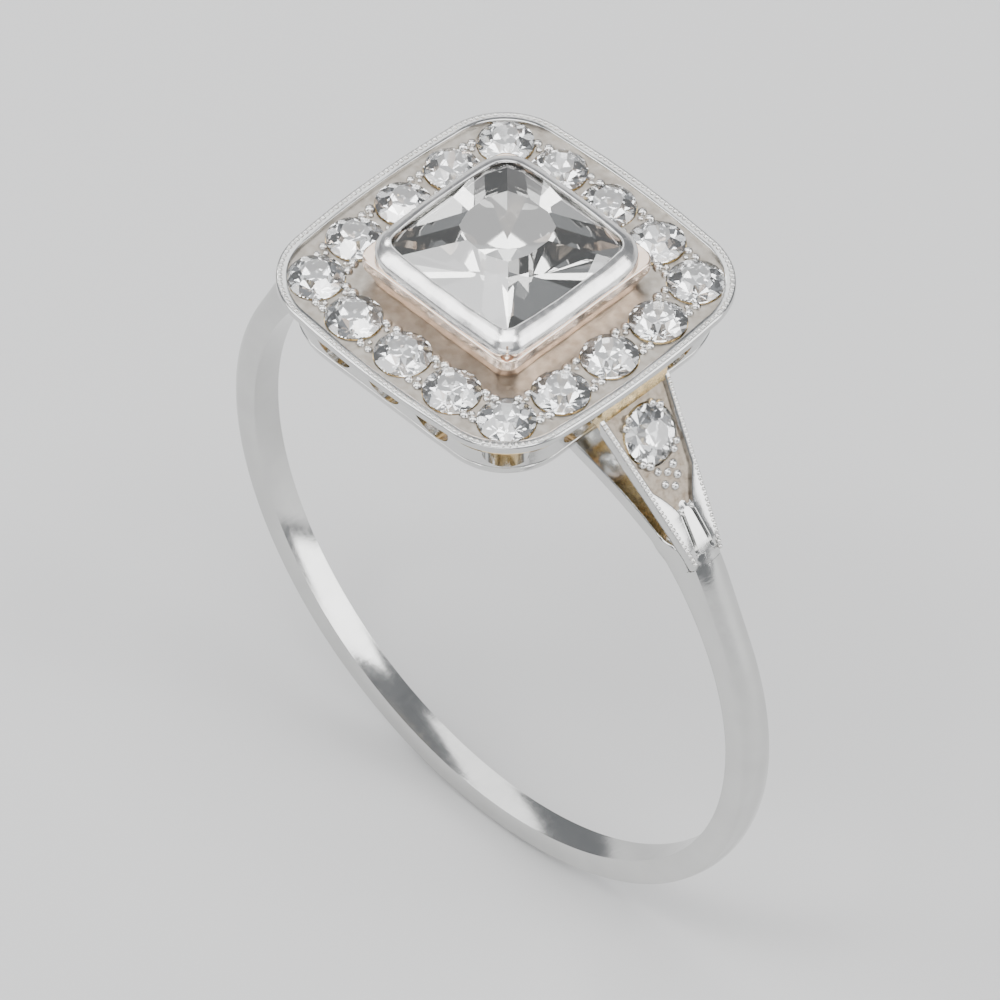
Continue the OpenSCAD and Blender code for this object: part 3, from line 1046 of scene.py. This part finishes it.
def shoulder_beads(side, name):
    """Millegrain along both edges of a shoulder, and the grains that hold its stone."""
    chance = random.Random(11)
    axis = out_of_shoulder(side)
    pitch = 0.14
    parts = []
    s = 0.95
    while s < SHOULDER_TO - 0.05:
        w = half_width(face(s)[0].y)
        for y in (-1, 1):
            spot = on_shoulder(s, y * (w - 0.08), -0.02, side)
            parts.append(ball(spot, chance.uniform(0.06, 0.07), axis, steps=7))
        s += pitch
    reach = SHOULDER_STONE_R + 0.02
    for a in STONE_GRAINS:
        spot = on_shoulder(SHOULDER_STONE_AT - reach * math.sin(a), reach * math.cos(a), -0.06, side)
        parts.append(ball(spot, chance.uniform(0.11, 0.14), axis))
    for s, y in PANEL_GRAINS:
        parts.append(ball(on_shoulder(s, y, -0.13, side), chance.uniform(0.12, 0.15), axis))
    obj = make(f"{name}_beads", *merged(parts))
    dress(obj, BEADS)


def shoulder_stone(side, name, node):
    """A shoulder's stone, with its girdle a little below the face."""
    place = shoulder_place(side) @ Matrix.Translation((0, 0, -0.1))
    obj = small_stone(name, SHOULDER_STONE_R, place, 40 + side)
    dress(obj, DIAMOND)
    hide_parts(node)


centre_stone()
halo_stones()
plate_border()
plate_bed()
halo_grains()
plate_millegrain()
collet()
collet_body()
gallery()
hoop()
for side, name in ((1, "shoulder_right"), (-1, "shoulder_left")):
    shoulder(side, name)
    shoulder_bed(side, name)
    shoulder_beads(side, name)
shoulder_stone(1, "shoulder_stone_right", "shoulder_diamond_right")
shoulder_stone(-1, "shoulder_stone_left", "shoulder_diamond_left")

for name in ("plate_lining", "shoulder_lining_left", "shoulder_lining_right"):
    dress(frame["nodes"][name], YELLOW)


# ---- Stage ----


# Distances in metres. A light is (name, azimuth, elevation, (width, height), watts). Five large
# ones show in the metal, one fills from the front, and three small ones make the stones sparkle.
CAMERA_DISTANCE = 0.243
LIGHT_DISTANCE = 1.5
SPARK = (0.24, 0.24)
LIGHTS = (
    ("back", 223, 50, (1.5, 0.78), 9),
    ("left", 318, 38, (0.66, 1.35), 15.3),
    ("right", 124, 28, (0.78, 1.2), 15.3),
    ("front", 30, 20, (1.2, 0.36), 6.3),
    ("top", 43, 82, (0.78, 0.66), 10.8),
    ("fill", 43, 52, (1.2, 0.9), 5),
    ("spark_one", 95, 62, SPARK, 3.15),
    ("spark_two", 350, 64, SPARK, 3.15),
    ("spark_three", 265, 30, SPARK, 3.15),
)


def floor():
    """A plain pale floor that the hoop stands on."""
    bpy.ops.mesh.primitive_circle_add(vertices=96, radius=3, fill_type="NGON")
    obj = bpy.context.object
    obj.name = "floor"
    obj.location.z = hoop_low.z * MM
    material, tree, shader = tree_of("floor")
    cloud = noise_node(tree, 0.02, 3)
    tree.links.new(ramp(tree, cloud, [(0.3, 0.59), (0.7, 0.61)]), shader.inputs["Base Color"])
    shader.inputs["Roughness"].default_value = 0.6
    obj.data.materials.append(material)
    obj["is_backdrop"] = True


def way_to(azimuth, elevation):
    """A direction from the ring. Azimuth 0 is towards -Y and 90 towards +X, in degrees."""
    a, e = math.radians(azimuth), math.radians(elevation)
    return Vector((math.sin(a) * math.cos(e), -math.cos(a) * math.cos(e), math.sin(e)))


def softbox(name, azimuth, elevation, size, power):
    """A rectangular light aimed at the ring. size is its width and height in metres."""
    light = bpy.data.lights.new(name, "AREA")
    light.shape = "RECTANGLE"
    light.size, light.size_y = size
    light.energy = power
    obj = place_in_scene(name, light)
    way = way_to(azimuth, elevation)
    obj.location = way * LIGHT_DISTANCE
    obj.rotation_euler = way.to_track_quat("Z", "Y").to_euler()
    obj.visible_camera = False


def world():
    """A grey room in the reflections. Seen directly it is as pale as the floor's far edge."""
    made = bpy.data.worlds.new("studio")
    made.use_nodes = True
    tree = made.node_tree
    room = tree.nodes["Background"]
    room.inputs["Color"].default_value = (0.27, 0.28, 0.295, 1)
    beyond = tree.nodes.new("ShaderNodeBackground")
    beyond.inputs["Color"].default_value = (0.68, 0.68, 0.685, 1)
    path = tree.nodes.new("ShaderNodeLightPath")
    mix = tree.nodes.new("ShaderNodeMixShader")
    tree.links.new(path.outputs["Is Camera Ray"], mix.inputs["Fac"])
    tree.links.new(room.outputs["Background"], mix.inputs[1])
    tree.links.new(beyond.outputs["Background"], mix.inputs[2])
    tree.links.new(mix.outputs["Shader"], tree.nodes["World Output"].inputs["Surface"])
    bpy.context.scene.world = made


def camera():
    """Looks down on the ring from the front right, through a long lens."""
    low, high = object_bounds()
    target = (low + high) / 2 + Vector((0, 0, 1)) * MM
    way = way_to(43.7, 48.3)
    data = bpy.data.cameras.new("camera")
    data.sensor_width = 36
    data.lens = 340
    data.clip_start, data.clip_end = 0.01, 20
    obj = place_in_scene("camera", data)
    obj.location = target + way * CAMERA_DISTANCE
    roll = Matrix.Rotation(math.radians(1.6), 3, "Z")
    obj.rotation_euler = (way.to_track_quat("Z", "Y").to_matrix() @ roll).to_euler()
    bpy.context.scene.camera = obj


floor()
world()
for light in LIGHTS:
    softbox(*light)
camera()
